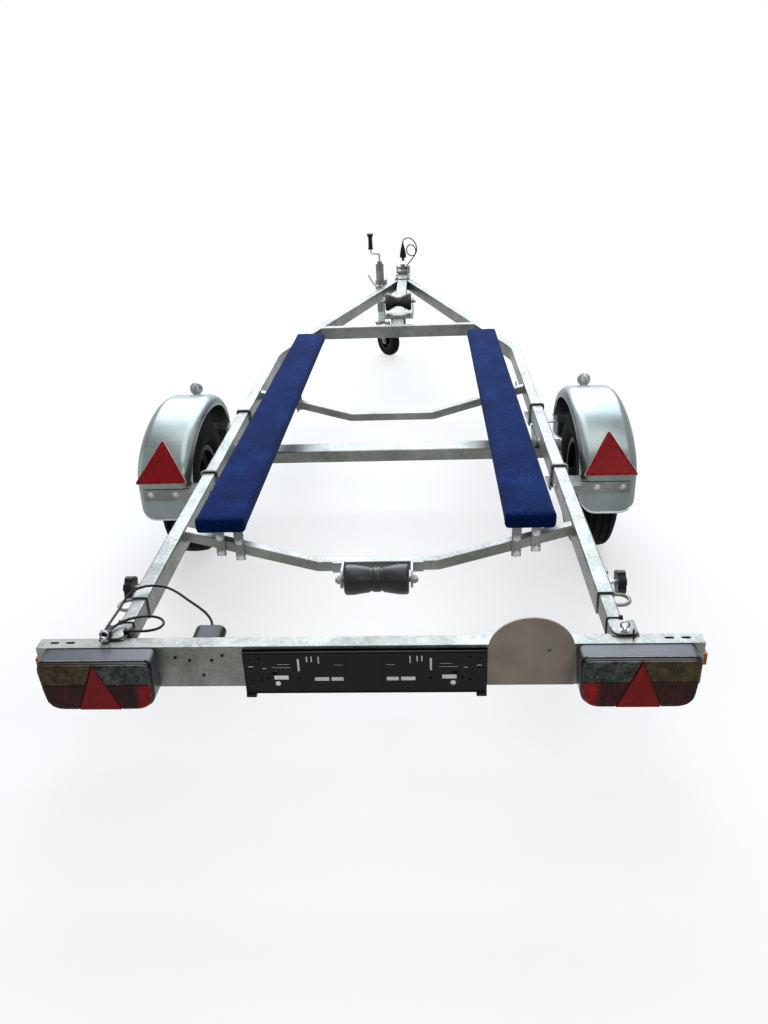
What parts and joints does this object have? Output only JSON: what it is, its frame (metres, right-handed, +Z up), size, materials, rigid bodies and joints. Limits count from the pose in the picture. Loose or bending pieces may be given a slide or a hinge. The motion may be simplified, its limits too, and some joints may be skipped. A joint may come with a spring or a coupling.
{
  "type": "boat trailer",
  "caption": "Single-axle galvanised boat trailer with carpeted bunks, keel and bow rollers, pull-out light board and jockey wheel.",
  "frame": {"origin": "centre of the footprint, on the ground", "axes": "+Y forward to the coupling, +X to the right, +Z up"},
  "size_m": [1.596, 4.388, 0.744],
  "materials": {
    "galvanised_steel": "hot-dip galvanised, dull zinc spangle",
    "plain_plate": "matte primed steel",
    "road_tyre": "matte",
    "dark_rim": "satin",
    "black_rubber": "matte",
    "black_plastic": "moulded satin",
    "navy_carpet": "marine carpet",
    "clear_lens": "gloss",
    "red_lens": "gloss",
    "amber_lens": "gloss",
    "pale_lens": "gloss"
  },
  "bodies": {
    "frame": {"rail_left": "galvanised_steel", "rail_right": "galvanised_steel", "drawbar": "galvanised_steel", "cross_tube_front": "galvanised_steel", "cross_tube_middle": "galvanised_steel", "cross_tube_rear": "galvanised_steel", "axle_beam": "galvanised_steel", "swing_arms": "galvanised_steel", "mudguard_left": "galvanised_steel", "mudguard_right": "galvanised_steel", "guard_carriers": "galvanised_steel", "triangles": "red_lens", "marker_lamps": "pale_lens", "bunk_left": "navy_carpet", "bunk_right": "navy_carpet", "bunk_clamps": "galvanised_steel", "keel_roller_bracket": "galvanised_steel", "bow_roller_bracket": "galvanised_steel", "coupling_head": "galvanised_steel", "coupling_lever": "galvanised_steel", "jockey_clamp": "galvanised_steel", "jockey_clamp_lever": "galvanised_steel", "hand_wheels": "black_plastic", "hand_screws": "galvanised_steel", "lashing_loops": "galvanised_steel"},
    "wheel_left": {"tyre_left": "road_tyre", "rim_left": "dark_rim"},
    "wheel_right": {"tyre_right": "road_tyre", "rim_right": "dark_rim"},
    "keel_roller": {"keel_roller": "black_rubber"},
    "bow_roller": {"bow_roller": "black_rubber"},
    "light_board": {"light_beam": "galvanised_steel", "light_arms": "galvanised_steel", "lamp_housings": "black_plastic", "lenses_clear": "clear_lens", "lenses_red": "red_lens", "plate_holder": "black_plastic", "arch_plate": "plain_plate", "side_markers": "amber_lens", "junction_box": "black_plastic"},
    "jockey_tube": {"jockey_outer_tube": "galvanised_steel"},
    "jockey_leg": {"jockey_leg": "galvanised_steel"},
    "jockey_fork": {"jockey_fork": "galvanised_steel"},
    "jockey_wheel": {"jockey_wheel_tyre": "black_rubber", "jockey_wheel_rim": "black_plastic"},
    "jockey_crank": {"jockey_crank": "galvanised_steel", "jockey_crank_grip": "black_plastic"}
  },
  "joints": [
    {"name": "wheel_left_spin", "type": "hinge", "parent": "frame", "child": "wheel_left", "pos_m": [-0.705, -0.836, 0.245], "axis": [1, 0, 0], "continuous": true},
    {"name": "wheel_right_spin", "type": "hinge", "parent": "frame", "child": "wheel_right", "pos_m": [0.705, -0.836, 0.245], "axis": [1, 0, 0], "continuous": true},
    {"name": "keel_roller_spin", "type": "hinge", "parent": "frame", "child": "keel_roller", "pos_m": [0, -1.661, 0.318], "axis": [1, 0, 0], "continuous": true},
    {"name": "bow_roller_spin", "type": "hinge", "parent": "frame", "child": "bow_roller", "pos_m": [0, 0.924, 0.5], "axis": [1, 0, 0], "continuous": true},
    {"name": "light_board_slide", "type": "slide", "parent": "frame", "child": "light_board", "axis": [0, -1, 0], "range_m": [-0.08, 0.35]},
    {"name": "jockey_clamp_slide", "type": "slide", "parent": "frame", "child": "jockey_tube", "axis": [0, 0, 1], "range_m": [0, 0.115]},
    {"name": "jockey_leg_slide", "type": "slide", "parent": "jockey_tube", "child": "jockey_leg", "axis": [0, 0, 1], "range_m": [-0.1, 0.05]},
    {"name": "jockey_fork_swivel", "type": "hinge", "parent": "jockey_leg", "child": "jockey_fork", "pos_m": [-0.134, 1.744, 0.204], "axis": [0, 0, 1], "continuous": true},
    {"name": "jockey_wheel_spin", "type": "hinge", "parent": "jockey_fork", "child": "jockey_wheel", "pos_m": [-0.09543, 1.69804, 0.095], "axis": [0.766, 0.6428, 0], "continuous": true},
    {"name": "jockey_crank_spin", "type": "hinge", "parent": "jockey_tube", "child": "jockey_crank", "pos_m": [-0.134, 1.744, 0.56], "axis": [0, 0, 1], "continuous": true}
  ]
}
